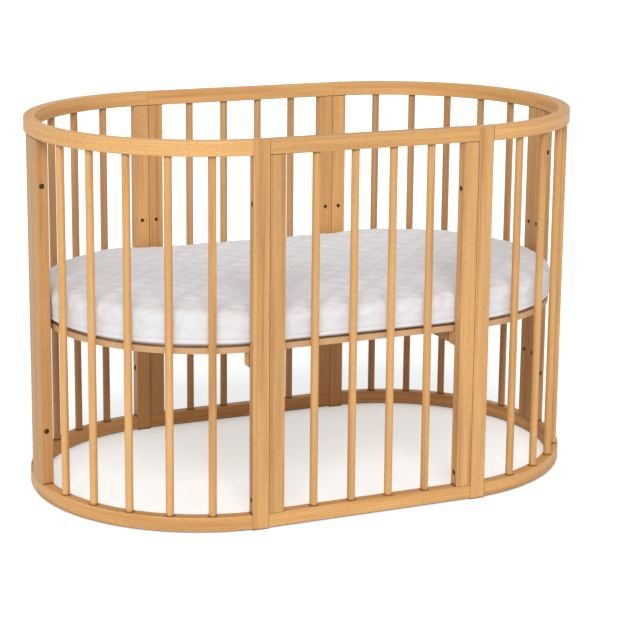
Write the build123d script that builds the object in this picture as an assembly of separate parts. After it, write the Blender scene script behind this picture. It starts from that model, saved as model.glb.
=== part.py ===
# An oval baby crib in solid beech. Six slatted panels, two straight and four quarter round, stand in a
# ring and are bolted together post to post. A three piece plywood base, stiffened by two battens,
# rests on four cleats that are bolted to the posts, and a mattress lies on the base.
# Millimetres. Origin: on the floor, under the middle of the crib. +X along the crib, +Y to the back,
# +Z up.
from build123d import *
from math import cos, degrees, radians, sin
import os

# Driving dimensions -------------------------------------------------------------------------------
HALF_STRAIGHT = 226.0        # middle of the crib to a joint between a straight and a curved panel
OUTER_RADIUS = 368.0         # of the curved panels, and half the width of the crib
FRAME_DEPTH = 25.0           # rails and posts, from the outer face to the inner face
RAIL_HEIGHT = 30.0
POST_WIDTH = 33.0            # along the ring
PANEL_HEIGHT = 780.0         # underside of a bottom rail to the top of a top rail
FOOT_DROP = 2.0              # how far the full height posts stand below the bottom rails

SLAT_RADIUS = 8.0
SLAT_TENON = 10.0            # depth of a slat's end in its rail
STRAIGHT_SLATS = 4
STRAIGHT_SLAT_PITCH = 83.0
CURVED_SLATS = 5

LOWEST_LEVEL = 192.0         # lowest row of base inserts above the floor
LEVEL_PITCH = 150.0
LEVELS = 3
USED_LEVEL = 1               # the cleats hang from the middle row

CLEAT_DEPTH = 25.0
CLEAT_HEIGHT = 28.0
CLEAT_ROUND = 6.0            # lower inner edge
LEVEL_TO_CLEAT_TOP = 15.0
BASE_THICKNESS = 12.0
BASE_GAP = 8.0               # frame's inner face to the base's edge
BATTEN_WIDTH = 25.0
BATTEN_GAP = 6.0             # cleat's inner face to a batten's end, room for the bolt heads
MATTRESS_GAP = 5.0
MATTRESS_THICKNESS = 62.0
MATTRESS_ROUND = 12.0
COVER_THICKNESS = 4.0

RAIL_EDGE = 2.5              # rounding of the rails' long edges
POST_EDGE = 1.5              # rounding of the posts' upright edges
END_EDGE = 0.6               # easing where two pieces meet

CONNECTOR_HEIGHT_TOP = 657.0     # bolts that join two posts
CONNECTOR_HEIGHT_LOW = 146.0
CONNECTOR_HEIGHT_LOW_FRONT = 60.0
CONNECTOR_HEAD_RADIUS = 5.5
CONNECTOR_HEAD_LENGTH = 3.0
CONNECTOR_SINK = 1.2             # post's side to the connector's head
SLEEVE_RADIUS = 4.0
SLEEVE_LENGTH = 40.0
BOLT_TIP_GAP = 6.0               # sleeve's head to the bolt's tip
M6_RADIUS = 3.0
HOLE_PLAY = 0.2                  # between a piece and the drilled hole that it sits in
HEX_RADIUS = 2.3                 # key socket, across the corners / 2
HEX_DEPTH = 2.0

INSERT_RADIUS = 5.0
INSERT_LENGTH = 13.0
INSERT_SINK = 0.5
CLEAT_BOLT_HEAD_RADIUS = 5.0
CLEAT_BOLT_HEAD_LENGTH = 3.5
CLEAT_BOLT_REACH = 11.0          # into the insert

PEG_RADIUS = 4.0
PEG_PLAY = 0.5
PEG_IN_CLEAT = 14.0
PEG_IN_BASE = 8.0
SCREW_RADIUS = 2.0
SCREW_HEAD_RADIUS = 4.0
SCREW_LENGTH = 35.0
SCREWS_PER_EDGE = 4
SCREW_FROM_JOINT = 6.5
DOWEL_RADIUS = 4.0
DOWEL_HALF = 14.0                # length of a dowel on each side of its joint
PEG_END_PLAY = 1.0               # peg's top to the bottom of its hole in the base

OVERSHOOT = 5.0                  # how far a cutter runs past the face that it opens
OVERSHOOT_ANGLE = 2.0            # the same, in degrees round the ring

# Sizes that follow --------------------------------------------------------------------------------
INNER_RADIUS = OUTER_RADIUS - FRAME_DEPTH
MID_RADIUS = OUTER_RADIUS - FRAME_DEPTH / 2
RAIL_BOTTOM = FOOT_DROP
TOP = FOOT_DROP + PANEL_HEIGHT
TOP_RAIL_BOTTOM = TOP - RAIL_HEIGHT
BOTTOM_RAIL_TOP = RAIL_BOTTOM + RAIL_HEIGHT
END_X = HALF_STRAIGHT + OUTER_RADIUS
POST_ANGLE = degrees(POST_WIDTH / MID_RADIUS)
LEVEL_HEIGHTS = [LOWEST_LEVEL + k * LEVEL_PITCH for k in range(LEVELS)]
BASE_LEVEL = LEVEL_HEIGHTS[USED_LEVEL]
BASE_BOTTOM = BASE_LEVEL + LEVEL_TO_CLEAT_TOP
BASE_TOP = BASE_BOTTOM + BASE_THICKNESS
BASE_RADIUS = INNER_RADIUS - BASE_GAP
CLEAT_BOTTOM = BASE_BOTTOM - CLEAT_HEIGHT
CLEAT_FACE = INNER_RADIUS - CLEAT_DEPTH
BATTEN_INNER_X = HALF_STRAIGHT - POST_WIDTH
BOARD_JOINT_X = BATTEN_INNER_X + BATTEN_WIDTH / 2
INSERT_OFFSET = POST_WIDTH / 2
MATTRESS_RADIUS = INNER_RADIUS - MATTRESS_GAP
PEG_Y = CLEAT_FACE + CLEAT_DEPTH / 3

os.makedirs("parts", exist_ok=True)


def save(shape, name):
    """Writes one node, as one solid or as a group of separate solids."""
    solids = shape.solids() if hasattr(shape, "solids") else [s for part in shape for s in part.solids()]
    whole = solids[0] if len(solids) == 1 else Compound(children=list(solids))
    export_step(whole, f"parts/{name}.step")


def on_ring(radius, angle):
    """A point of the front right quarter. Angle 0 is the joint with the front panel, 90 the end."""
    return (HALF_STRAIGHT + radius * sin(radians(angle)), -radius * cos(radians(angle)))


def sector(inner, outer, start, end, low, high):
    """A piece of the front right quarter ring."""
    middle = (start + end) / 2
    outline = Curve() + [
        Line(on_ring(inner, start), on_ring(outer, start)),
        ThreePointArc(on_ring(outer, start), on_ring(outer, middle), on_ring(outer, end)),
        Line(on_ring(outer, end), on_ring(inner, end)),
        ThreePointArc(on_ring(inner, end), on_ring(inner, middle), on_ring(inner, start)),
    ]
    return Pos(0, 0, low) * extrude(make_face(outline), high - low)


def block(x0, x1, y0, y1, z0, z1):
    """A box between two corners."""
    centre = Pos((x0 + x1) / 2, (y0 + y1) / 2, (z0 + z1) / 2)
    return centre * Box(x1 - x0, y1 - y0, z1 - z0)


def rod(start, direction, radius, length):
    """A cylinder from a point along a direction."""
    return Plane(origin=start, z_dir=direction) * extrude(Circle(radius), length)


def oval(radius, low, high):
    """A slab with the plan of the crib, offset to the given end radius."""
    return Pos(0, 0, low) * extrude(SlotCenterToCenter(2 * HALF_STRAIGHT, 2 * radius), high - low)


# The quadrants: (name, mirrored left to right, mirrored front to back)
QUARTERS = [
    ("front_right", False, False),
    ("front_left", True, False),
    ("back_right", False, True),
    ("back_left", True, True),
]


def placed(shape, left, back):
    """The front right shape, mirrored into another quadrant."""
    if left:
        shape = mirror(shape, about=Plane.YZ)
    if back:
        shape = mirror(shape, about=Plane.XZ)
    return shape


# Joint hardware, in the front right quadrant ------------------------------------------------------
def low_connector(back):
    return CONNECTOR_HEIGHT_LOW if back else CONNECTOR_HEIGHT_LOW_FRONT


def straight_joint_heights(back):
    return [CONNECTOR_HEIGHT_TOP, low_connector(back)]


END_JOINT_HEIGHTS = [CONNECTOR_HEIGHT_TOP, CONNECTOR_HEIGHT_LOW]
CONNECTOR_HALF = POST_WIDTH - CONNECTOR_SINK


def connector_bolt(centre, axis):
    """The bolt half of a connector: its head lies at the far side of the post along the axis."""
    head_start = centre + axis * (CONNECTOR_HALF - CONNECTOR_HEAD_LENGTH)
    tip = centre - axis * (CONNECTOR_HALF - CONNECTOR_HEAD_LENGTH - BOLT_TIP_GAP)
    shank = rod(tip, axis, M6_RADIUS, (head_start - tip).length)
    head = rod(head_start, axis, CONNECTOR_HEAD_RADIUS, CONNECTOR_HEAD_LENGTH)
    socket_plane = Plane(origin=centre + axis * (CONNECTOR_HALF - HEX_DEPTH), z_dir=axis)
    socket = socket_plane * extrude(RegularPolygon(HEX_RADIUS, 6), HEX_DEPTH)
    return shank + head - socket


def connector_sleeve(centre, axis):
    """The threaded sleeve that the bolt screws into, with its head at the near side."""
    outer_end = centre - axis * CONNECTOR_HALF
    barrel_start = outer_end + axis * CONNECTOR_HEAD_LENGTH
    head = rod(outer_end, axis, CONNECTOR_HEAD_RADIUS, CONNECTOR_HEAD_LENGTH)
    barrel = rod(barrel_start, axis, SLEEVE_RADIUS, SLEEVE_LENGTH)
    thread = rod(barrel_start, axis, M6_RADIUS, SLEEVE_LENGTH)
    socket = Plane(origin=outer_end, z_dir=axis) * extrude(RegularPolygon(HEX_RADIUS, 6), HEX_DEPTH)
    return head + barrel - thread - socket


def connector_hole(centre, axis):
    """The stepped hole for a connector through both posts of a joint."""
    side = POST_WIDTH + OVERSHOOT
    sink_start = CONNECTOR_HALF - CONNECTOR_HEAD_LENGTH
    hole = rod(centre - axis * side, axis, SLEEVE_RADIUS + HOLE_PLAY, 2 * side)
    for way in (axis, axis * -1):
        hole += rod(centre + way * sink_start, way, CONNECTOR_HEAD_RADIUS + HOLE_PLAY, side - sink_start)
    return hole


def straight_joint_centre(height):
    return Vector(HALF_STRAIGHT, -MID_RADIUS, height)


def end_joint_centre(height):
    return Vector(END_X - FRAME_DEPTH / 2, 0, height)


def insert_at(point, outward):
    """A threaded insert whose mouth lies just under a post's inner face."""
    start = point + outward * INSERT_SINK
    body = rod(start, outward, INSERT_RADIUS, INSERT_LENGTH)
    return body - rod(start, outward, M6_RADIUS, INSERT_LENGTH)


def insert_hole(point, outward):
    length = OVERSHOOT + INSERT_SINK + INSERT_LENGTH
    return rod(point - outward * OVERSHOOT, outward, INSERT_RADIUS, length)


def straight_joint_insert(height, side):
    """Where an insert's axis meets the inner faces at a straight joint. side is -1 or 1 along X."""
    return Vector(HALF_STRAIGHT + side * INSERT_OFFSET, -INNER_RADIUS, height)


def end_joint_insert(height):
    return Vector(END_X - FRAME_DEPTH, -INSERT_OFFSET, height)


TO_FRONT = Vector(0, -1, 0)
TO_BACK = Vector(0, 1, 0)
UP = Vector(0, 0, 1)
TO_RIGHT = Vector(1, 0, 0)


# Dowels, in the front right quadrant ---------------------------------------------------------------
def post_dowel_points():
    """Middles of the upright dowels between the posts and the rails above and below them."""
    points = []
    end_x, end_y = on_ring(MID_RADIUS, 90 - POST_ANGLE / 2)
    for z in (BOTTOM_RAIL_TOP, TOP_RAIL_BOTTOM):
        points.append((HALF_STRAIGHT - POST_WIDTH / 2, -MID_RADIUS, z))
        points.append((end_x, end_y, z))
    return points


def upright_dowels():
    return [Pos(*p) * Cylinder(DOWEL_RADIUS, 2 * DOWEL_HALF) for p in post_dowel_points()]


BUTT_HEIGHT = RAIL_BOTTOM + RAIL_HEIGHT / 2


def butt_dowel():
    """A dowel along the ring, between the side of a full height post and a curved rail's end."""
    x, y = on_ring(MID_RADIUS, POST_ANGLE)
    along = Vector(cos(radians(POST_ANGLE)), sin(radians(POST_ANGLE)), 0)
    return rod(Vector(x, y, BUTT_HEIGHT) - along * DOWEL_HALF, along, DOWEL_RADIUS, 2 * DOWEL_HALF)


# Posts --------------------------------------------------------------------------------------------
def upright_edges(shape):
    return shape.edges().filter_by(Axis.Z)


def drilled(post, connectors, axis, inserts, outward):
    """A post with its connector, insert and dowel holes."""
    for dowel in upright_dowels() + [butt_dowel()]:
        post -= dowel
    for centre in connectors:
        post -= connector_hole(centre, axis)
    for point in inserts:
        post -= insert_hole(point, outward)
    return post


def full_height_post(back):
    """The curved panel's post at a straight joint: floor to top, half lapped by the top rail inside."""
    post = sector(INNER_RADIUS, OUTER_RADIUS, 0, POST_ANGLE, 0, TOP)
    post = fillet(upright_edges(post), POST_EDGE)
    rim = post.faces().sort_by(Axis.Z)[-1].edges()
    post = fillet(rim, END_EDGE)
    post -= sector(INNER_RADIUS - OVERSHOOT, MID_RADIUS, -OVERSHOOT_ANGLE, POST_ANGLE + OVERSHOOT_ANGLE,
                   TOP_RAIL_BOTTOM, TOP + OVERSHOOT)
    connectors = [straight_joint_centre(h) for h in straight_joint_heights(back)]
    inserts = [straight_joint_insert(h, 1) for h in LEVEL_HEIGHTS]
    return drilled(post, connectors, TO_RIGHT, inserts, TO_FRONT)


def end_post():
    """The curved panel's post at the end of the crib, between its two rails."""
    post = sector(INNER_RADIUS, OUTER_RADIUS, 90 - POST_ANGLE, 90, BOTTOM_RAIL_TOP, TOP_RAIL_BOTTOM)
    post = fillet(upright_edges(post), POST_EDGE)
    connectors = [end_joint_centre(h) for h in END_JOINT_HEIGHTS]
    inserts = [end_joint_insert(h) for h in LEVEL_HEIGHTS]
    return drilled(post, connectors, TO_BACK, inserts, TO_RIGHT)


def straight_post(back):
    """The straight panel's post, between its two rails."""
    post = block(HALF_STRAIGHT - POST_WIDTH, HALF_STRAIGHT, -OUTER_RADIUS, -INNER_RADIUS,
                 BOTTOM_RAIL_TOP, TOP_RAIL_BOTTOM)
    post = fillet(upright_edges(post), POST_EDGE)
    connectors = [straight_joint_centre(h) for h in straight_joint_heights(back)]
    inserts = [straight_joint_insert(h, -1) for h in LEVEL_HEIGHTS]
    return drilled(post, connectors, TO_RIGHT, inserts, TO_FRONT)


# Slats --------------------------------------------------------------------------------------------
def slat(x, y):
    """A round slat with a tenon's length of it in each rail."""
    low = BOTTOM_RAIL_TOP - SLAT_TENON
    high = TOP_RAIL_BOTTOM + SLAT_TENON
    return rod(Vector(x, y, low), UP, SLAT_RADIUS, high - low)


def curved_slat_points():
    """Slat centres on the quarter, with equal gaps between the posts and the slats."""
    arc = radians(90) * MID_RADIUS
    gap = (arc - 2 * POST_WIDTH - CURVED_SLATS * 2 * SLAT_RADIUS) / (CURVED_SLATS + 1)
    first = POST_WIDTH + gap + SLAT_RADIUS
    pitch = gap + 2 * SLAT_RADIUS
    return [on_ring(MID_RADIUS, degrees((first + k * pitch) / MID_RADIUS)) for k in range(CURVED_SLATS)]


def straight_slat_points():
    middle = (STRAIGHT_SLATS - 1) / 2
    return [((k - middle) * STRAIGHT_SLAT_PITCH, -MID_RADIUS) for k in range(STRAIGHT_SLATS)]


# Rails --------------------------------------------------------------------------------------------
def eased_ends(rail, ends):
    """Eases the rims of the rail's end faces, whose middles in plan are given."""
    for x, y in ends:
        middle = Vector(x, y, rail.center().Z)
        end_face = min(rail.faces(), key=lambda face: (face.center() - middle).length)
        rail = fillet(end_face.outer_wire().edges(), END_EDGE)
    return rail


def curved_rail(start, low, cutters):
    """A quarter rail from the start angle to the end joint, with the sockets in it."""
    rail = sector(INNER_RADIUS, OUTER_RADIUS, start, 90, low, low + RAIL_HEIGHT)
    rail = fillet(rail.edges().filter_by(GeomType.CIRCLE), RAIL_EDGE)
    rail = eased_ends(rail, [on_ring(MID_RADIUS, start), on_ring(MID_RADIUS, 90)])
    for cutter in cutters:
        rail -= cutter
    return rail


def top_curved_rail():
    """Runs over the end post, and laps the inner half of the full height post."""
    cutters = [slat(*p) for p in curved_slat_points()] + upright_dowels()
    rail = curved_rail(0, TOP_RAIL_BOTTOM, cutters)
    return rail - sector(MID_RADIUS, OUTER_RADIUS + OVERSHOOT, -OVERSHOOT_ANGLE, POST_ANGLE,
                         TOP_RAIL_BOTTOM - OVERSHOOT, TOP + OVERSHOOT)


def bottom_curved_rail():
    """Butts the side of the full height post and runs under the end post."""
    cutters = [slat(*p) for p in curved_slat_points()] + upright_dowels()
    return curved_rail(POST_ANGLE, RAIL_BOTTOM, cutters + [butt_dowel()])


def straight_rail(low):
    """A straight panel's top or bottom rail, over or under both of its posts."""
    rail = block(-HALF_STRAIGHT, HALF_STRAIGHT, -OUTER_RADIUS, -INNER_RADIUS, low, low + RAIL_HEIGHT)
    rail = fillet(rail.edges().filter_by(Axis.X), RAIL_EDGE)
    rail = eased_ends(rail, [(-HALF_STRAIGHT, -MID_RADIUS), (HALF_STRAIGHT, -MID_RADIUS)])
    for point in straight_slat_points():
        rail -= slat(*point)
    for dowel in upright_dowels():
        rail -= dowel
        rail -= mirror(dowel, about=Plane.YZ)
    return rail


# Base ---------------------------------------------------------------------------------------------
def cleat():
    """A block across both posts of a straight joint, shaped to their inner faces."""
    piece = block(HALF_STRAIGHT - POST_WIDTH, HALF_STRAIGHT + POST_WIDTH, -INNER_RADIUS, -CLEAT_FACE,
                  CLEAT_BOTTOM, BASE_BOTTOM)
    inner_low = piece.edges().filter_by(Axis.X).group_by(Axis.Z)[0].sort_by(Axis.Y)[-1]
    piece = fillet(inner_low, CLEAT_ROUND)
    piece -= sector(INNER_RADIUS, OUTER_RADIUS, 0, 2 * POST_ANGLE,
                    CLEAT_BOTTOM - OVERSHOOT, BASE_BOTTOM + OVERSHOOT)
    for side in (-1, 1):
        mouth = straight_joint_insert(BASE_LEVEL, side)
        start = mouth - TO_FRONT * (CLEAT_DEPTH + OVERSHOOT)
        piece -= rod(start, TO_FRONT, M6_RADIUS + HOLE_PLAY, CLEAT_DEPTH + 2 * OVERSHOOT)
    peg_hole = Vector(HALF_STRAIGHT, -PEG_Y, BASE_BOTTOM - PEG_IN_CLEAT)
    return piece - rod(peg_hole, UP, PEG_RADIUS, PEG_IN_CLEAT + OVERSHOOT)


def cleat_bolts():
    """The two bolts that hold a cleat to the posts' inserts."""
    bolts = []
    for side in (-1, 1):
        face = straight_joint_insert(BASE_LEVEL, side) - TO_FRONT * CLEAT_DEPTH
        shank = rod(face, TO_FRONT, M6_RADIUS, CLEAT_DEPTH + CLEAT_BOLT_REACH)
        head = rod(face - TO_FRONT * CLEAT_BOLT_HEAD_LENGTH, TO_FRONT, CLEAT_BOLT_HEAD_RADIUS,
                   CLEAT_BOLT_HEAD_LENGTH)
        rim = Plane(origin=face - TO_FRONT * CLEAT_BOLT_HEAD_LENGTH, z_dir=TO_FRONT)
        bolts.append(shank + head - rim * extrude(RegularPolygon(HEX_RADIUS, 6), HEX_DEPTH))
    return bolts


def peg(radius, low, high):
    return rod(Vector(HALF_STRAIGHT, -PEG_Y, low), UP, radius, high - low)


def screw_points():
    """Screws through the boards into the right hand batten, in pairs across the boards' joint."""
    reach = CLEAT_FACE - BATTEN_GAP
    step = 2 * reach / SCREWS_PER_EDGE
    rows = [-reach + step * (k + 0.5) for k in range(SCREWS_PER_EDGE)]
    return [(BOARD_JOINT_X + side * SCREW_FROM_JOINT, y) for side in (-1, 1) for y in rows]


def screw(x, y):
    """A countersunk wood screw, its head flush with the boards' top."""
    head_length = SCREW_HEAD_RADIUS - SCREW_RADIUS
    shank = rod(Vector(x, y, BASE_TOP - SCREW_LENGTH), UP, SCREW_RADIUS, SCREW_LENGTH)
    cone = Pos(x, y, BASE_TOP - head_length / 2) * Cone(SCREW_RADIUS, SCREW_HEAD_RADIUS, head_length)
    return shank + cone


RIGHT_SCREWS = [screw(*p) for p in screw_points()]
LEFT_SCREWS = [mirror(s, about=Plane.YZ) for s in RIGHT_SCREWS]


def base_board(x0, x1):
    """The part of the oval base between two X values, bored for the pegs and the screws."""
    board = oval(BASE_RADIUS, BASE_BOTTOM, BASE_TOP)
    board &= block(x0, x1, -BASE_RADIUS - OVERSHOOT, BASE_RADIUS + OVERSHOOT,
                   BASE_BOTTOM - OVERSHOOT, BASE_TOP + OVERSHOOT)
    hole_top = BASE_BOTTOM + PEG_IN_BASE + PEG_END_PLAY
    peg_hole = peg(PEG_RADIUS + PEG_PLAY, BASE_BOTTOM - OVERSHOOT, hole_top)
    for _, left, back in QUARTERS:
        board -= placed(peg_hole, left, back)
    for piece in RIGHT_SCREWS + LEFT_SCREWS:
        board -= piece
    return board


def batten():
    reach = CLEAT_FACE - BATTEN_GAP
    piece = block(BATTEN_INNER_X, BATTEN_INNER_X + BATTEN_WIDTH, -reach, reach, CLEAT_BOTTOM, BASE_BOTTOM)
    piece = fillet(piece.edges().filter_by(Axis.Y).group_by(Axis.Z)[0], RAIL_EDGE)
    for fixing in RIGHT_SCREWS:
        piece -= fixing
    return piece


# Mattress -----------------------------------------------------------------------------------------
def mattress(inset):
    """The mattress, or its core when inset by the cover's thickness."""
    low, high = BASE_TOP + inset, BASE_TOP + MATTRESS_THICKNESS - inset
    pad = oval(MATTRESS_RADIUS - inset, low, high)
    return fillet(pad.faces().filter_by(Axis.Z).edges(), MATTRESS_ROUND - inset)


# Write every node ---------------------------------------------------------------------------------
for quarter, left, back in QUARTERS:
    save(placed(top_curved_rail(), left, back), f"top_rail_{quarter}")
    save(placed(bottom_curved_rail(), left, back), f"bottom_rail_{quarter}")
    save(placed(full_height_post(back), left, back), f"full_post_{quarter}")
    save(placed(end_post(), left, back), f"end_post_{quarter}")
    save(placed(straight_post(back), left, back), f"straight_post_{quarter}")
    save([placed(slat(*p), left, back) for p in curved_slat_points()], f"slats_{quarter}")
    save(placed(cleat(), left, back), f"base_cleat_{quarter}")

for side, back in (("front", False), ("back", True)):
    save(placed(straight_rail(TOP_RAIL_BOTTOM), False, back), f"top_rail_{side}")
    save(placed(straight_rail(RAIL_BOTTOM), False, back), f"bottom_rail_{side}")
    save([placed(slat(*p), False, back) for p in straight_slat_points()], f"slats_{side}")

bolts, sleeves = [], []
for quarter, left, back in QUARTERS:
    for height in straight_joint_heights(back):
        bolts.append(placed(connector_bolt(straight_joint_centre(height), TO_RIGHT), left, back))
        sleeves.append(placed(connector_sleeve(straight_joint_centre(height), TO_RIGHT), left, back))
for left in (False, True):
    for height in END_JOINT_HEIGHTS:
        bolts.append(placed(connector_bolt(end_joint_centre(height), TO_BACK), left, True))
        sleeves.append(placed(connector_sleeve(end_joint_centre(height), TO_BACK), left, True))
save(bolts, "connector_bolts")
save(sleeves, "connector_sleeves")

inserts = []
for quarter, left, back in QUARTERS:
    for height in LEVEL_HEIGHTS:
        for side in (-1, 1):
            inserts.append(placed(insert_at(straight_joint_insert(height, side), TO_FRONT), left, back))
        inserts.append(placed(insert_at(end_joint_insert(height), TO_RIGHT), left, back))
save(inserts, "base_inserts")

save([placed(d, left, back) for _, left, back in QUARTERS for d in upright_dowels()], "post_dowels")
save([placed(butt_dowel(), left, back) for _, left, back in QUARTERS], "rail_dowels")
save([placed(b, left, back) for _, left, back in QUARTERS for b in cleat_bolts()], "cleat_bolts")
locating_peg = peg(PEG_RADIUS, BASE_BOTTOM - PEG_IN_CLEAT, BASE_BOTTOM + PEG_IN_BASE)
save([placed(locating_peg, left, back) for _, left, back in QUARTERS], "locating_pegs")

END_OF_BASE = HALF_STRAIGHT + BASE_RADIUS + OVERSHOOT
save(base_board(-BOARD_JOINT_X, BOARD_JOINT_X), "base_middle")
save(base_board(BOARD_JOINT_X, END_OF_BASE), "base_right")
save(base_board(-END_OF_BASE, -BOARD_JOINT_X), "base_left")
save(batten(), "batten_right")
save(mirror(batten(), about=Plane.YZ), "batten_left")
save(RIGHT_SCREWS + LEFT_SCREWS, "base_screws")

save(mattress(0) - mattress(COVER_THICKNESS), "mattress_cover")
save(mattress(COVER_THICKNESS), "mattress_core")
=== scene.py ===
from math import cos, pi, radians, sin, sqrt

import bmesh
import bpy
from mathutils import Matrix, Vector, noise
from mathutils.geometry import delaunay_2d_cdt


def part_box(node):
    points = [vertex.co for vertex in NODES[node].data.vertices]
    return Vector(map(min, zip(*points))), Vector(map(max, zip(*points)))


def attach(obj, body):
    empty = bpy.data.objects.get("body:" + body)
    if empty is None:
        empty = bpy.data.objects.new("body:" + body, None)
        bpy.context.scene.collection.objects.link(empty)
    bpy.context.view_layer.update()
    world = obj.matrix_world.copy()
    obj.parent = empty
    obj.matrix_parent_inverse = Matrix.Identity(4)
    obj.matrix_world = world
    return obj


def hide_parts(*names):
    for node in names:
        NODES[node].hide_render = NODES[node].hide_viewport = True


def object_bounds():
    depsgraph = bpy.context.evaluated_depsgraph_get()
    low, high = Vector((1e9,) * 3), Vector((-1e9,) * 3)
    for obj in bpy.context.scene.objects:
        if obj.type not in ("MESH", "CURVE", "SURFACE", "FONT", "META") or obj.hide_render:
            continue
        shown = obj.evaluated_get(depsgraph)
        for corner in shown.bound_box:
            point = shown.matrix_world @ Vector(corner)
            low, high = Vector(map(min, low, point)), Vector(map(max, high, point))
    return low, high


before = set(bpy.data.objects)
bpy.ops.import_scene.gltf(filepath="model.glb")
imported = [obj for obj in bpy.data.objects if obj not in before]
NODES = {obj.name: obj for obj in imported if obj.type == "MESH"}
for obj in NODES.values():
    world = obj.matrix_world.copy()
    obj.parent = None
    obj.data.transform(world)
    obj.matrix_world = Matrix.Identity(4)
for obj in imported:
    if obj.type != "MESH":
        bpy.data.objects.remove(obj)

CAD_LOW, CAD_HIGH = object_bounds()

# Sizes that follow from the frame ------------------------------------------------------------------
RAIL_LOW, RAIL_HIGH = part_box("top_rail_front")
HALF_STRAIGHT = RAIL_HIGH.x        # middle of the crib to a curved panel's centre
RAIL_DEPTH = RAIL_HIGH.y - RAIL_LOW.y
OUTER_RADIUS = CAD_HIGH.y
PAD_LOW, PAD_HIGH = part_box("mattress_cover")
BOARD_LOW, BOARD_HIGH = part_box("base_middle")

# Camera --------------------------------------------------------------------------------------------
CAMERA_POINT = Vector((-1.638, -3.759, 1.370))
CAMERA_TURN = radians(23.8)        # to the right of +Y
CAMERA_TILT = radians(-12.32)
CAMERA_ROLL = radians(0.52)
CAMERA_LENS = 113.4                # millimetres, as the sensor
CAMERA_SENSOR = 36.0
CAMERA_SHIFT_Y = -0.097


# Node helpers --------------------------------------------------------------------------------------
class Shader:
    """Builds one node material. Inputs are numbers, colours or other nodes' outputs."""

    def __init__(self, name):
        self.material = bpy.data.materials.new(name)
        self.material.use_nodes = True
        self.tree = self.material.node_tree
        self.tree.nodes.clear()
        output = self.tree.nodes.new("ShaderNodeOutputMaterial")
        self.surface = self.tree.nodes.new("ShaderNodeBsdfPrincipled")
        self.tree.links.new(self.surface.outputs[0], output.inputs[0])

    def feed(self, socket, value):
        """Links another node's output to the socket, or sets the socket to a number or a colour."""
        if isinstance(value, bpy.types.NodeSocket):
            self.tree.links.new(value, socket)
        elif isinstance(value, tuple):
            socket.default_value = (*value, 1)
        else:
            socket.default_value = value

    def node(self, kind, output=0, **inputs):
        made = self.tree.nodes.new(kind)
        for key, value in inputs.items():
            self.feed(made.inputs[key.replace("_", " ")], value)
        return made.outputs[output]

    def math(self, operation, *values):
        made = self.tree.nodes.new("ShaderNodeMath")
        made.operation = operation
        for socket, value in zip(made.inputs, values):
            self.feed(socket, value)
        return made.outputs[0]

    def mix(self, factor, a, b, blend="MIX"):
        made = self.tree.nodes.new("ShaderNodeMixRGB")
        made.blend_type = blend
        for socket, value in zip(made.inputs, (factor, a, b)):
            self.feed(socket, value)
        return made.outputs[0]

    def steps(self, value, *stops):
        """A colour ramp through (position, colour) stops."""
        made = self.tree.nodes.new("ShaderNodeValToRGB")
        ramp = made.color_ramp
        while len(ramp.elements) < len(stops):
            ramp.elements.new(0.5)
        for element, (position, colour) in zip(ramp.elements, stops):
            element.position = position
            element.color = (*colour, 1)
        self.feed(made.inputs[0], value)
        return made.outputs[0]

    def noise(self, vector, scale, detail, roughness=0.55):
        return self.node("ShaderNodeTexNoise", Vector=vector, Scale=scale, Detail=detail,
                         Roughness=roughness)

    def combine(self, x, y, z=0.0):
        return self.node("ShaderNodeCombineXYZ", X=x, Y=y, Z=z)

    def scaled(self, parts, rates):
        """The coordinates as one vector, each times its own rate."""
        return self.combine(*[self.math("MULTIPLY", part, rate) for part, rate in zip(parts, rates)])

    def coordinates(self, kind):
        source = self.node("ShaderNodeTexCoord", kind)
        split = self.tree.nodes.new("ShaderNodeSeparateXYZ")
        self.tree.links.new(source, split.inputs[0])
        return tuple(split.outputs)

    def place(self):
        """The point's X, Y and Z in the row frame."""
        return self.coordinates("Object")

    def facing(self):
        """X, Y and Z of the direction that the surface faces, in the piece's own frame."""
        return self.coordinates("Normal")

    def bump(self, height, size, below=None):
        """A normal bumped by (depth, strength), on top of the one below where that is given."""
        depth, strength = size
        made = self.tree.nodes.new("ShaderNodeBump")
        self.feed(made.inputs["Height"], height)
        made.inputs["Distance"].default_value = depth
        made.inputs["Strength"].default_value = strength
        if below is not None:
            self.feed(made.inputs["Normal"], below)
        return made.outputs[0]

    def finish(self, **inputs):
        """Sets the shader's own sockets, and gives back the material."""
        for key, value in inputs.items():
            self.feed(self.surface.inputs[key.replace("_", " ")], value)
        return self.material


def grey(value):
    """A grey as three numbers, 1 for white."""
    return (value, value, value)


# Wood ----------------------------------------------------------------------------------------------
BEECH_LIGHT = (0.770, 0.425, 0.150)
BEECH_MIDDLE = (0.680, 0.352, 0.116)
BEECH_DARK = (0.500, 0.235, 0.070)
BEECH_FLECK = (0.300, 0.135, 0.048)
# painted shade: the brown that the narrow gaps between pieces are darkened towards
GAP_SHADE_BROWN = (0.110, 0.045, 0.016)
# pale tone of rubbed edges, which also serves as a painted highlight along them
WEAR_AND_HIGHLIGHT_TONE = (0.860, 0.560, 0.280)
WHITE = (1.0, 1.0, 1.0)
DULLEST_PIECE = (0.86, 0.84, 0.82)  # the darkest tone that a piece can have of its own

# Tones of the finishes, which the beech colours are multiplied by
RAIL_TONE = (1.27, 1.28, 1.24)
POST_TONE = (1.13, 1.13, 1.14)
SLAT_TONE = (1.27, 1.30, 1.30)
# the back slats are a darker copy of the slats' finish: painted shade
BACK_SLAT_SHADE_TONE = (0.99, 1.00, 1.10)

# Rates of the grain's noises: (along the fibres, across them), per metre
RING_RATES = (1.6, 62.0)
FIBRE_RATES = (7.0, 520.0)
CLOUD_RATES = (5.0, 11.0)
FLECK_RATES = (150.0, 1300.0)
# patches along the edges' wear and painted highlight
WEAR_AND_HIGHLIGHT_PATCH_RATE = 34.0
OWN_SHIFT = 7.0                    # spreads the grain of different pieces along the noises

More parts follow.
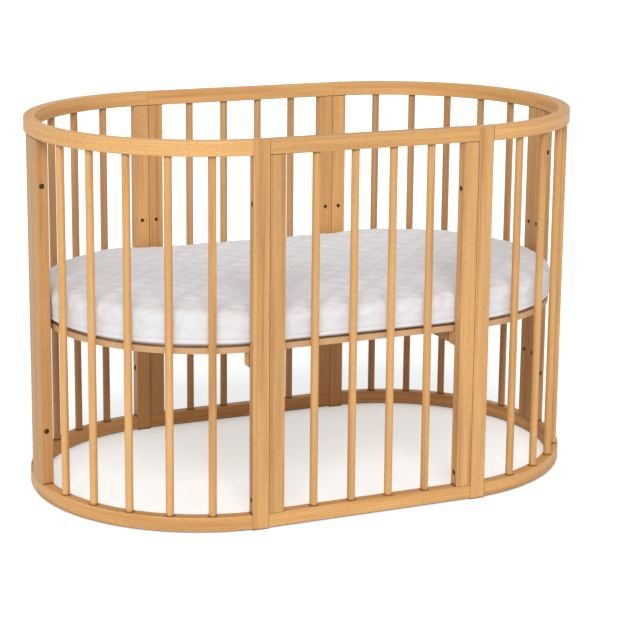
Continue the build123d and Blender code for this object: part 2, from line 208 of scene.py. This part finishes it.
# Shares of each effect in the colour
EVENNESS = 0.18
FIBRE_SHARE = 0.42
CLOUD_SHARE = 0.30
FLECK_SHARE = 0.62
FLECK_DEPTH = 0.8                  # how far flecks lie below the fibres, in the bump
# share of the edges' wear and painted highlight
WEAR_AND_HIGHLIGHT_SHARE = 0.42
# share of the painted shade in the narrow gaps between pieces
GAP_SHADE_SHARE = 0.90

EDGE_WEAR_AND_HIGHLIGHT = 0.0016                 # how far from an edge the lacquer is rubbed and the painted highlight reaches
EDGE_SAMPLES = 4
JOINT_SHADE = 0.0055               # how far from a joint the wood is darkened by painted shade
JOINT_SAMPLES = 6
LACQUER_ROUGHNESS = 0.40
FIBRE_ROUGHNESS = 0.16             # added where the fibres are pale
WORN_ROUGHNESS = 0.12              # added on worn edges
GRAIN_BUMP = (0.00012, 0.6)        # depth and strength, as all bumps here


def member_axes(shader, run):
    """(along, across, through) for a straight, upright, crosswise or curved piece of wood."""
    x, y, z = shader.place()
    if run == "straight":
        return x, y, z
    if run == "upright":
        return z, x, y
    if run == "cross":
        return y, x, z
    past = shader.math("SUBTRACT", shader.math("ABSOLUTE", x), HALF_STRAIGHT)
    squares = shader.math("ADD", shader.math("MULTIPLY", past, past), shader.math("MULTIPLY", y, y))
    radius = shader.math("SQRT", squares)
    angle = shader.math("ARCTAN2", y, past)
    return shader.math("MULTIPLY", angle, OUTER_RADIUS), radius, z


def wood_grain(shader, along, across, through):
    """(colour, fibres, height) of beech whose fibres run along the first coordinate."""
    own = shader.math("MULTIPLY", shader.node("ShaderNodeObjectInfo", "Random"), OWN_SHIFT)

    def drawn_out(rates, detail, roughness=0.55):
        """Noise that is long along the fibres and narrow across them, and differs between pieces."""
        run, width = rates
        point = shader.combine(shader.math("ADD", shader.math("MULTIPLY", along, run), own),
                               shader.math("MULTIPLY", across, width),
                               shader.math("MULTIPLY", through, width))
        return shader.noise(point, 1.0, detail, roughness)

    rings = drawn_out(RING_RATES, detail=3.0)
    fibres = drawn_out(FIBRE_RATES, detail=6.0, roughness=0.72)
    clouds = drawn_out(CLOUD_RATES, detail=2.0)
    flecks = drawn_out(FLECK_RATES, detail=1.0, roughness=0.3)
    bands = shader.steps(rings, (0.30, BEECH_DARK), (0.44, BEECH_MIDDLE), (0.56, BEECH_LIGHT),
                         (0.72, BEECH_MIDDLE))
    fibre_tone = shader.steps(fibres, (0.25, grey(0.35)), (0.70, WHITE))
    cloud_tone = shader.steps(clouds, (0.25, grey(0.72)), (0.75, WHITE))
    own_tone = shader.steps(shader.math("FRACT", own), (0.0, DULLEST_PIECE), (1.0, WHITE))
    dash = shader.steps(flecks, (0.63, grey(0.0)), (0.70, WHITE))
    colour = shader.mix(EVENNESS, bands, BEECH_MIDDLE)
    colour = shader.mix(FIBRE_SHARE, colour, fibre_tone, "MULTIPLY")
    colour = shader.mix(CLOUD_SHARE, colour, cloud_tone, "MULTIPLY")
    colour = shader.mix(1.0, colour, own_tone, "MULTIPLY")
    colour = shader.mix(shader.math("MULTIPLY", dash, FLECK_SHARE), colour, BEECH_FLECK)
    height = shader.math("SUBTRACT", fibres, shader.math("MULTIPLY", dash, FLECK_DEPTH))
    return colour, fibres, height


def wear_and_highlight_edges(shader):
    """How much wear and painted highlight a point has: 1 on an outer edge, 0 on a face, uneven along the
    edge.
    """
    round_normal = shader.tree.nodes.new("ShaderNodeBevel")
    round_normal.samples = EDGE_SAMPLES
    round_normal.inputs["Radius"].default_value = EDGE_WEAR_AND_HIGHLIGHT
    turn = shader.tree.nodes.new("ShaderNodeVectorMath")
    turn.operation = "DOT_PRODUCT"
    shader.feed(turn.inputs[0], round_normal.outputs[0])
    shader.feed(turn.inputs[1], shader.node("ShaderNodeNewGeometry", "Normal"))
    edge = shader.steps(turn.outputs["Value"], (0.80, WHITE), (0.985, grey(0.0)))
    patches = shader.noise(shader.combine(*shader.place()), WEAR_AND_HIGHLIGHT_PATCH_RATE, detail=3.0)
    return shader.math("MULTIPLY", edge, shader.steps(patches, (0.35, grey(0.25)), (0.65, WHITE)))


def painted_gap_shade(shader):
    """How closed in a point is, which sets the painted shade: 1 in the narrow gap between two pieces, 0
    in the open.
    """
    gap = shader.tree.nodes.new("ShaderNodeAmbientOcclusion")
    gap.samples = JOINT_SAMPLES
    gap.inputs["Distance"].default_value = JOINT_SHADE
    return shader.steps(gap.outputs["AO"], (0.60, WHITE), (0.93, grey(0.0)))


def beech(name, run, tone=WHITE):
    """Satin lacquered beech, with painted shade in the narrow gaps between pieces, and edges made paler
    by wear and by a painted highlight.
    """
    shader = Shader(name)
    colour, fibres, height = wood_grain(shader, *member_axes(shader, run))
    wear_and_highlight = wear_and_highlight_edges(shader)
    colour = shader.mix(1.0, colour, tone, "MULTIPLY")
    # edges paler from wear and from a painted highlight
    colour = shader.mix(shader.math("MULTIPLY", wear_and_highlight, WEAR_AND_HIGHLIGHT_SHARE), colour, WEAR_AND_HIGHLIGHT_TONE)
    # painted shade in the narrow gaps between pieces, from ambient occlusion
    colour = shader.mix(shader.math("MULTIPLY", painted_gap_shade(shader), GAP_SHADE_SHARE), colour, GAP_SHADE_BROWN)
    satin = shader.math("ADD", LACQUER_ROUGHNESS, shader.math("MULTIPLY", fibres, FIBRE_ROUGHNESS))
    return shader.finish(
        Base_Color=colour,
        Roughness=shader.math("ADD", shader.math("MULTIPLY", wear_and_highlight, WORN_ROUGHNESS), satin),
        Normal=shader.bump(height, GRAIN_BUMP),
        Coat_Weight=0.16,
        Coat_Roughness=0.32,
    )


PLY_PALE = (0.700, 0.430, 0.220)
PLY_BROWN = (0.470, 0.255, 0.120)
PLIES = 5
PLY_EVENNESS = 0.72                # share of the pale ply in the edge
SPECK_RATES = (500.0, 500.0, 1800.0)
SPECK_SHARE = 0.35
FACE_LIMIT = 0.7                   # the veneer is where the normal's Z is beyond this, up or down
PLY_ROUGHNESS = 0.52
PLY_FIBRE_ROUGHNESS = 0.15
PLY_BUMP = (0.00015, 0.5)


def plywood():
    """Beech plywood: face veneer above and below, alternating layers round the edge."""
    shader = Shader("plywood")
    x, y, z = shader.place()
    face, fibres, height = wood_grain(shader, x, y, z)
    ply = (BOARD_HIGH.z - BOARD_LOW.z) / PLIES
    layer = shader.math("MULTIPLY", shader.math("SUBTRACT", z, BOARD_LOW.z), 1 / (2 * ply))
    line = shader.steps(shader.math("FRACT", layer), (0.0, PLY_PALE), (0.44, PLY_PALE), (0.50, PLY_BROWN),
                        (0.94, PLY_BROWN), (1.0, PLY_PALE))
    speck = shader.noise(shader.scaled((x, y, z), SPECK_RATES), 1.0, detail=3.0)
    edge = shader.mix(PLY_EVENNESS, line, PLY_PALE)
    edge = shader.mix(SPECK_SHARE, edge, shader.steps(speck, (0.3, grey(0.5)), (0.6, WHITE)), "MULTIPLY")
    flat = shader.math("GREATER_THAN", shader.math("ABSOLUTE", shader.facing()[2]), FACE_LIMIT)
    return shader.finish(
        Base_Color=shader.mix(flat, edge, face),
        Roughness=shader.math("ADD", PLY_ROUGHNESS, shader.math("MULTIPLY", fibres, PLY_FIBRE_ROUGHNESS)),
        Normal=shader.bump(shader.math("ADD", height, speck), PLY_BUMP),
    )


# Metal ---------------------------------------------------------------------------------------------
BRASS = (0.52, 0.34, 0.13)
BRONZED_STEEL = (0.17, 0.11, 0.06)
PATCH_RATE = 420.0                 # per metre
SCRATCH_RATE = 3800.0
DULLING = 0.6                      # the dulled patches' share of the clean colour
PATCH_ROUGHNESS = 0.2              # added where a patch is dull
SCRATCH_BUMP = (0.00003, 0.5)


def metal(name, colour, roughness):
    """Turned metal with fine scratches and dulled patches."""
    shader = Shader(name)
    here = shader.combine(*shader.place())
    patches = shader.noise(here, PATCH_RATE, detail=3.0)
    scratches = shader.noise(here, SCRATCH_RATE, detail=2.0)
    dull = tuple(DULLING * part for part in colour)
    return shader.finish(
        Base_Color=shader.mix(shader.steps(patches, (0.35, grey(0.0)), (0.7, WHITE)), colour, dull),
        Metallic=1.0,
        Roughness=shader.math("ADD", roughness, shader.math("MULTIPLY", patches, PATCH_ROUGHNESS)),
        Normal=shader.bump(scratches, SCRATCH_BUMP),
    )


# Mattress ------------------------------------------------------------------------------------------
# Quilting
QUILT_PITCH = 0.050                # between parallel quilting lines, which run at 45 degrees
QUILT_SHIFT = -0.010
CELL_STEPS = 6                     # mesh steps across a quilted square
MESH_STEP = QUILT_PITCH / CELL_STEPS
PUFF = 0.0034                      # how far a quilted square stands above its seams
PUFF_POWER = 0.45                  # below 1 makes the squares fuller near their seams
RIM_GAP = 0.6                      # least room between the rim and the squares' points, in mesh steps
TOP_TOLERANCE = 1e-7               # points of the top closer than this become one
QUILT_FADE = 0.075                 # the quilting grows shallower over this distance from the rim
CROSS_SEAM_X = 0.237               # seams straight across the mattress, one near each end
GROOVE = 0.006                     # a groove this far beside each cross seam, and as wide either way
GROOVE_SHARE = 0.7                 # how much of the squares' height a groove takes away
WELT_WIDTH = 0.005                 # a low welt lies along each cross seam, this wide either way
WELT_HEIGHT = 0.0016
CREASE = 0.0011
CREASE_RATES = (26, 85)            # per metre, along X and Y
CROWN = 0.004

# Fullness: how much higher the top lies than that of the plain solid
DRAPE = 0.0022                     # slow waves of the top
SLOW_RATES = (9, 9)                # per metre, along X and Y
RISE_MIDDLE = 0.0015
RISE_LEFT = 0.012
RISE_RIGHT = 0.008
RISE_FROM_X = 0.20                 # the ends rise between these distances from the middle
RISE_TO_X = 0.35

# Wall, from the top's rim down to where the mattress rests on the base
WALL_SWELL = 0.0015                # how far outside the plain solid's the wall starts, before ripples
PAD_RADIUS = PAD_HIGH.y + WALL_SWELL
SHOULDER = 0.022                   # rounding from the top to the wall
SHOULDER_RINGS = 6
RIM_RADIUS = PAD_RADIUS - SHOULDER
WALL_TOP = PAD_HIGH.z - SHOULDER
WALL_STEPS = 5                     # from the shoulder down to the low seam
WALL_HOLLOW = 0.0012               # the wall pulls in this far halfway down
LOW_SEAM = PAD_LOW.z + 0.016       # top of the seam round the bottom of the wall
SEAM_NIP = 0.0026                  # how far that seam pulls in
SEAM_LIP = 0.0005                  # how far the cloth above and below it pulls in
SEAM_HALF = 0.0025                 # half of the seam's height
SEAM_DRIFT = 0.00096               # the seam wanders up and down by up to this
RIPPLE = 0.0009                    # ripples of the wall, all inwards
RIPPLE_RATES = (55, 55)
HEM = 0.006                        # rounding under the wall
HEM_RINGS = 3
HEM_RISE = 0.0055                  # the wall ends this far above the base
HEM_DEPTH = 0.014                  # how far in from the wall the mattress starts to rest on the base
HEM_SLOPE = 0.002                  # over this width the underside drops from the hem to the base
REST_EDGE = 0.0005                 # height of the last rounding before the flat rest
REST_EDGE_WIDTH = 0.003
BOTTOM_TOLERANCE = 1e-9            # as TOP_TOLERANCE, for the flat bottom
RING_COUNT = 2 * round((pi * PAD_RADIUS + 2 * HALF_STRAIGHT) / MESH_STEP)
RING_EDGES = [(k, (k + 1) % RING_COUNT) for k in range(RING_COUNT)]

# Layers of the noise over the plan, each a different one
CREASE_LAYER = 3.0
SEAM_LAYER = 4.0
DRAPE_LAYER = 6.0
RIPPLE_LAYER = 9.0

# Cloth simulation
WALL_LIMIT = 0.0008                # least room between the mattress and the frame's inner faces
CLOTH_QUALITY = 6
CLOTH_PRESSURE = 3.0
CLOTH_FRAMES = 20
CLOTH_SLACK = -0.030               # spare cloth between the seams, as negative shrinkage
CLOTH_CAP = 0.005                  # the furthest that a point may move

# Cloth's looks
STITCH_LENGTH = 0.0036
STITCH_WIDTH = 0.0006
STITCH_DASH = 0.72                 # share of a stitch's length where its thread shows
THREAD_SHARE = 0.5
THREAD_GREY = (0.60, 0.59, 0.61)
CREASE_SHADE = (0.720, 0.724, 0.752)
COTTON = (0.800, 0.806, 0.832)
WEAVE_PITCH = 0.0008
SLUB_RATE = 700.0
FINE_CREASE_RATES = (38.0, 150.0, 60.0)
RIB_RATES = (210.0, 14.0)          # round the wall, and up it
CREASE_BUMP = (0.0024, 0.62)
RIB_BUMP = (0.0014, 0.5)
THREAD_BUMP = (0.00010, 0.5)
TOP_LIMIT = 0.6                    # the top is where the normal's Z is above this


def fabric():
    """White quilted cotton: a plain weave, small creases, and stitches along every quilting line."""
    shader = Shader("quilted_cotton")
    x, y, z = shader.place()
    right = shader.math("MULTIPLY", shader.math("SUBTRACT", x, y), 1 / sqrt(2))
    left = shader.math("MULTIPLY", shader.math("ADD", x, y), 1 / sqrt(2))

    def stitches(offset, along, shift):
        """1 on the thread of the quilting lines that lie a pitch apart along offset."""
        wrapped = shader.math("PINGPONG", shader.math("SUBTRACT", offset, shift), QUILT_PITCH / 2)
        near = shader.math("LESS_THAN", wrapped, STITCH_WIDTH)
        part = shader.math("FRACT", shader.math("DIVIDE", along, STITCH_LENGTH))
        return shader.math("MULTIPLY", near, shader.math("LESS_THAN", part, STITCH_DASH))

    on_top = shader.math("GREATER_THAN", shader.facing()[2], TOP_LIMIT)
    lines = shader.math("MAXIMUM", stitches(right, left, QUILT_SHIFT), stitches(left, right, 0.0))
    thread = shader.math("MULTIPLY", on_top, lines)
    creases = shader.noise(shader.scaled((x, y, z), FINE_CREASE_RATES), 1.0, detail=4.0, roughness=0.6)

    past = shader.math("SUBTRACT", shader.math("ABSOLUTE", x), HALF_STRAIGHT)
    angle = shader.math("ARCTAN2", past, shader.math("ABSOLUTE", y))
    round_end = shader.math("MULTIPLY", angle, OUTER_RADIUS)
    along_wall = shader.mix(shader.math("GREATER_THAN", past, 0.0), x, round_end)
    ribs = shader.noise(shader.scaled((along_wall, z), RIB_RATES), 1.0, detail=3.0)
    ribs = shader.math("MULTIPLY", ribs, shader.math("SUBTRACT", 1.0, on_top))

    warp = shader.math("SINE", shader.math("MULTIPLY", x, 2 * pi / WEAVE_PITCH))
    weft = shader.math("SINE", shader.math("MULTIPLY", shader.math("ADD", y, z), 2 * pi / WEAVE_PITCH))
    weave = shader.math("MULTIPLY", warp, weft)
    slubs = shader.noise(shader.combine(x, y, z), SLUB_RATE, detail=2.0)
    threads = shader.math("ADD", weave, shader.math("ADD", slubs, thread))

    colour = shader.steps(creases, (0.25, CREASE_SHADE), (0.65, COTTON))
    colour = shader.mix(shader.math("MULTIPLY", thread, THREAD_SHARE), colour, THREAD_GREY)
    normal = shader.bump(creases, CREASE_BUMP)
    normal = shader.bump(ribs, RIB_BUMP, normal)
    normal = shader.bump(threads, THREAD_BUMP, normal)
    return shader.finish(Base_Color=colour, Roughness=0.88, Sheen_Weight=0.22, Sheen_Roughness=0.5,
                         Normal=normal)


def stadium(radius):
    """Evenly spaced points round the crib's plan, with ends of the given radius."""
    arc = pi * radius
    straight = 2 * HALF_STRAIGHT
    whole = 2 * (arc + straight)
    points = []
    for k in range(RING_COUNT):
        way = whole * k / RING_COUNT
        if way < straight:
            points.append((-HALF_STRAIGHT + way, -radius))
        elif way < straight + arc:
            turn = (way - straight) / radius
            points.append((HALF_STRAIGHT + radius * sin(turn), -radius * cos(turn)))
        elif way < 2 * straight + arc:
            points.append((HALF_STRAIGHT - (way - straight - arc), radius))
        else:
            turn = (way - 2 * straight - arc) / radius
            points.append((-HALF_STRAIGHT - radius * sin(turn), radius * cos(turn)))
    return points


def plan_noise(x, y, rates, layer):
    """Smooth noise over the crib's plan, around 0."""
    return noise.noise(Vector((x * rates[0], y * rates[1], layer)))


def within_rim(x, y):
    """How far a point of the top lies inside its rim."""
    past = max(abs(x) - HALF_STRAIGHT, 0.0)
    return RIM_RADIUS - sqrt(past * past + y * y)


def across_quilting(x, y):
    """The point's distances across the two sets of quilting lines, from one line of each."""
    return (x - y) / sqrt(2) - QUILT_SHIFT, (x + y) / sqrt(2)


def quilted_height(x, y):
    """Height of the top above its seams: puffed squares, crossing seams, crown and soft creases."""
    right, left = across_quilting(x, y)
    square = abs(sin(pi * right / QUILT_PITCH) * sin(pi * left / QUILT_PITCH)) ** PUFF_POWER
    fade = min(max(within_rim(x, y) / QUILT_FADE, 0.0), 1.0)
    from_seam = abs(abs(x) - CROSS_SEAM_X)
    groove = max(0.0, 1.0 - abs(from_seam - GROOVE) / GROOVE)
    welt = max(0.0, 1.0 - from_seam / WELT_WIDTH)
    crown = CROWN * (1 - (y / RIM_RADIUS) ** 2) * fade
    crease = plan_noise(x, y, CREASE_RATES, CREASE_LAYER) * CREASE
    return crown + fade * (PUFF * square * (1 - GROOVE_SHARE * groove) + WELT_HEIGHT * welt + crease)


def fullness(x, y):
    """How far the top stands above the plain solid's: most at the ends, in slow waves."""
    share = min(max((abs(x) - RISE_FROM_X) / (RISE_TO_X - RISE_FROM_X), 0.0), 1.0)
    share *= share * (3 - 2 * share)
    end = RISE_LEFT if x < 0 else RISE_RIGHT
    wave = plan_noise(x, y, SLOW_RATES, DRAPE_LAYER) * DRAPE
    return RISE_MIDDLE + (end - RISE_MIDDLE) * share + wave


def on_seam(x, y):
    """Whether a point of the top lies on a stitched line."""
    right, left = across_quilting(x, y)
    nearest = min(abs(right - QUILT_PITCH * round(right / QUILT_PITCH)),
                  abs(left - QUILT_PITCH * round(left / QUILT_PITCH)),
                  abs(abs(x) - CROSS_SEAM_X))
    return nearest < MESH_STEP / 4


def add_object(name, data):
    piece = bpy.data.objects.new(name, data)
    bpy.context.scene.collection.objects.link(piece)
    return piece


def quilted_top(mesh):
    """Adds the top to the mesh, and gives back the vertices of its rim."""
    points = [Vector(point) for point in stadium(RIM_RADIUS)]
    reach = int((HALF_STRAIGHT + PAD_RADIUS) * sqrt(2) / MESH_STEP) + 1
    for i in range(-reach, reach + 1):
        for j in range(-reach, reach + 1):
            right, left = i * MESH_STEP + QUILT_SHIFT, j * MESH_STEP
            x, y = (right + left) / sqrt(2), (left - right) / sqrt(2)
            if within_rim(x, y) > RIM_GAP * MESH_STEP:
                points.append(Vector((x, y)))
    flat, _, faces, _, _, _ = delaunay_2d_cdt(points, RING_EDGES, [], 1, TOP_TOLERANCE)
    top = [mesh.verts.new((p.x, p.y, PAD_HIGH.z + quilted_height(p.x, p.y))) for p in flat]
    for face in faces:
        mesh.faces.new([top[k] for k in face])
    return top[:RING_COUNT]


def wall_profile():
    """Rings of the wall from the top down: (distance in, height, how far it drifts up and down)."""
    rings = []
    for k in range(1, SHOULDER_RINGS + 1):
        turn = pi / 2 * (1 - k / SHOULDER_RINGS)
        rings.append((SHOULDER * (1 - cos(turn)), PAD_HIGH.z - SHOULDER * (1 - sin(turn)), 0.0))
    for k in range(1, WALL_STEPS):
        share = k / WALL_STEPS
        rings.append((WALL_HOLLOW * sin(pi * share), WALL_TOP + (LOW_SEAM - WALL_TOP) * share, 0.0))
    for k, inset in enumerate((SEAM_LIP, SEAM_NIP, SEAM_LIP)):
        rings.append((inset, LOW_SEAM - k * SEAM_HALF, SEAM_DRIFT))
    hem_height = PAD_LOW.z + HEM_RISE
    for k in range(1, HEM_RINGS + 1):
        turn = pi / 2 * k / HEM_RINGS
        rings.append((HEM * (1 - cos(turn)), hem_height + HEM * (1 - sin(turn)), 0.0))
    rings.append((HEM_DEPTH - HEM_SLOPE, hem_height, 0.0))
    rings.append((HEM_DEPTH, PAD_LOW.z + REST_EDGE, 0.0))
    rings.append((HEM_DEPTH + REST_EDGE_WIDTH, PAD_LOW.z, 0.0))
    return rings


def hanging_wall(mesh, rim):
    """Adds the wall to the mesh ring by ring below the rim, and gives back its last ring."""
    above = rim
    for inset, height, drift in wall_profile():
        ring = []
        for x, y in stadium(PAD_RADIUS - inset):
            ripple = plan_noise(x, y, RIPPLE_RATES, RIPPLE_LAYER) * RIPPLE - RIPPLE
            sway = plan_noise(x, y, SLOW_RATES, SEAM_LAYER) * drift
            outward = Vector((x - max(min(x, HALF_STRAIGHT), -HALF_STRAIGHT), y)).normalized()
            spot = Vector((x, y)) + outward * ripple
            ring.append(mesh.verts.new((spot.x, spot.y, height + sway)))
        for k, n in RING_EDGES:
            mesh.faces.new((above[n], above[k], ring[k], ring[n]))
        above = ring
    return above


def inflate(piece, held):
    """Swells the cover between its seams by cloth simulation, and keeps the result in the mesh."""
    group = piece.vertex_groups.new(name="held")
    group.add(held, 1.0, "REPLACE")
    start = [v.co.copy() for v in piece.data.vertices]
    cloth = piece.modifiers.new("cloth", "CLOTH")
    settings = cloth.settings
    settings.quality = CLOTH_QUALITY
    settings.vertex_group_mass = "held"
    settings.use_pressure = True
    settings.uniform_pressure_force = CLOTH_PRESSURE
    settings.shrink_min = CLOTH_SLACK
    settings.effector_weights.gravity = 0
    cloth.point_cache.frame_start = 1
    cloth.point_cache.frame_end = CLOTH_FRAMES
    scene = bpy.context.scene
    for frame_number in range(1, CLOTH_FRAMES + 1):
        scene.frame_set(frame_number)
    swollen = piece.evaluated_get(bpy.context.evaluated_depsgraph_get()).data
    ends = [v.co.copy() for v in swollen.vertices]
    piece.modifiers.remove(cloth)
    piece.vertex_groups.clear()
    scene.frame_set(1)
    limit = OUTER_RADIUS - RAIL_DEPTH - WALL_LIMIT
    for vertex, before, after in zip(piece.data.vertices, start, ends):
        move = after - before
        if move.length > CLOTH_CAP:
            move *= CLOTH_CAP / move.length
        point = before + move
        axis = Vector((max(min(point.x, HALF_STRAIGHT), -HALF_STRAIGHT), 0, point.z))
        out = Vector((point.x - axis.x, point.y, 0))
        if out.length > limit:
            point = axis + out * (limit / out.length)
        vertex.co = point
    piece.data.update()


def mattress():
    """The cover as one closed form, from the quilted top down the wall and under to the flat bottom."""
    mesh = bmesh.new()
    lowest = hanging_wall(mesh, quilted_top(mesh))
    bottom = [Vector(v.co.xy) for v in lowest]
    _, _, faces, _, _, _ = delaunay_2d_cdt(bottom, RING_EDGES, [], 1, BOTTOM_TOLERANCE)
    for face in faces:
        mesh.faces.new([lowest[k] for k in reversed(face)])
    depth = PAD_HIGH.z - PAD_LOW.z
    for vertex in mesh.verts:
        share = min((vertex.co.z - PAD_LOW.z) / depth, 1.0)
        vertex.co.z += fullness(vertex.co.x, vertex.co.y) * share
    bmesh.ops.recalc_face_normals(mesh, faces=mesh.faces)
    for face in mesh.faces:
        face.smooth = True
    data = bpy.data.meshes.new("mattress")
    mesh.to_mesh(data)
    mesh.free()
    piece = add_object("mattress", data)
    held = []
    for vertex in data.vertices:
        x, y, z = vertex.co
        on_top = z >= PAD_HIGH.z - SHOULDER / 2
        if z < WALL_TOP or on_top and on_seam(x, y):
            held.append(vertex.index)
    inflate(piece, held)
    smooth = piece.modifiers.new("smooth", "SUBSURF")
    smooth.levels = 1
    smooth.render_levels = 1
    return piece


# Finishes for the CAD pieces -----------------------------------------------------------------------
def finish_for(name):
    """The finish of a node. A curved rail has three underscores in its name, a straight one two."""
    if name.startswith(("top_rail_", "bottom_rail_")):
        return "curved" if name.count("_") == 3 else "straight"
    if name.startswith("slats"):
        # the back slats get a darker copy of the slat finish, as painted shade
        return "shaded_back_slat" if "back" in name else "slat"
    if name.startswith(("full_post", "end_post", "straight_post")):
        return "upright"
    if name.endswith("_dowels") or name == "locating_pegs":
        return "upright"
    if name.startswith("base_cleat"):
        return "straight"
    if name.startswith("batten"):
        return "cross"
    if name in ("base_left", "base_middle", "base_right"):
        return "plywood"
    return "brass" if name == "base_inserts" else "steel"


FINISHES = {
    "straight": beech("beech_along", "straight", RAIL_TONE),
    "upright": beech("beech_upright", "upright", POST_TONE),
    "slat": beech("beech_slat", "upright", SLAT_TONE),
    # painted shade: the same beech as the slats, darker for the back side
    "shaded_back_slat": beech("beech_slat_back_shaded", "upright", BACK_SLAT_SHADE_TONE),
    "curved": beech("beech_curved", "curved", RAIL_TONE),
    "cross": beech("beech_across", "cross"),
    "plywood": plywood(),
    "brass": metal("brass", BRASS, 0.30),
    "steel": metal("bronzed_steel", BRONZED_STEEL, 0.36),
}
for name, node in NODES.items():
    if name.startswith("mattress"):
        continue
    node.data.materials.clear()
    node.data.materials.append(FINISHES[finish_for(name)])

cover = mattress()
cover.data.materials.append(fabric())
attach(cover, "mattress")
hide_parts("mattress_cover", "mattress_core")


# Stage ---------------------------------------------------------------------------------------------
FLOOR_HALF = 40.0
FLOOR_COLOUR = (0.90, 0.93, 0.95)
GLOW_COLOUR = (0.93, 1.0, 1.0)
FLOOR_GLOW = 0.40                  # keeps the floor's shadows pale in the picture, and lights nothing
SKY = 0.60
SUN_STRENGTH = 1.75
SUN_SPREAD = radians(32)
SUN_TRAVEL = Vector((0.42, 1.0, -0.88))


def floor():
    """A wide pale floor whose glow is seen by the camera only."""
    half = FLOOR_HALF
    corners = [(-half, -half, 0), (half, -half, 0), (half, half, 0), (-half, half, 0)]
    data = bpy.data.meshes.new("floor")
    data.from_pydata(corners, [], [(0, 1, 2, 3)])
    piece = add_object("floor", data)
    shader = Shader("pale_floor")
    seen = shader.node("ShaderNodeLightPath", "Is Camera Ray")
    glow = shader.math("MULTIPLY", seen, FLOOR_GLOW)
    data.materials.append(shader.finish(Base_Color=FLOOR_COLOUR, Roughness=0.9,
                                        Emission_Color=GLOW_COLOUR, Emission_Strength=glow))


def key_light():
    """One large soft light from the front left, above."""
    lamp = bpy.data.lights.new("key", "SUN")
    lamp.energy = SUN_STRENGTH
    lamp.angle = SUN_SPREAD
    piece = add_object("key", lamp)
    piece.rotation_euler = SUN_TRAVEL.to_track_quat("-Z", "Y").to_euler()


def sky():
    """An even white sky."""
    world = bpy.data.worlds.new("studio")
    world.use_nodes = True
    background = world.node_tree.nodes["Background"]
    background.inputs["Color"].default_value = (1, 1, 1, 1)
    background.inputs["Strength"].default_value = SKY
    bpy.context.scene.world = world


def camera():
    """The photograph's camera."""
    ahead = Vector((sin(CAMERA_TURN) * cos(CAMERA_TILT), cos(CAMERA_TURN) * cos(CAMERA_TILT),
                    sin(CAMERA_TILT)))
    level = ahead.cross(Vector((0, 0, 1))).normalized()
    above = level.cross(ahead)
    right = level * cos(CAMERA_ROLL) + above * sin(CAMERA_ROLL)
    up = above * cos(CAMERA_ROLL) - level * sin(CAMERA_ROLL)
    turn = Matrix((right, up, -ahead)).transposed().to_4x4()
    data = bpy.data.cameras.new("camera")
    data.lens = CAMERA_LENS
    data.sensor_width = CAMERA_SENSOR
    data.shift_y = CAMERA_SHIFT_Y
    piece = add_object("camera", data)
    piece.matrix_world = Matrix.Translation(CAMERA_POINT) @ turn
    bpy.context.scene.camera = piece


floor()
key_light()
sky()
camera()
bpy.context.scene.view_settings.view_transform = "Standard"
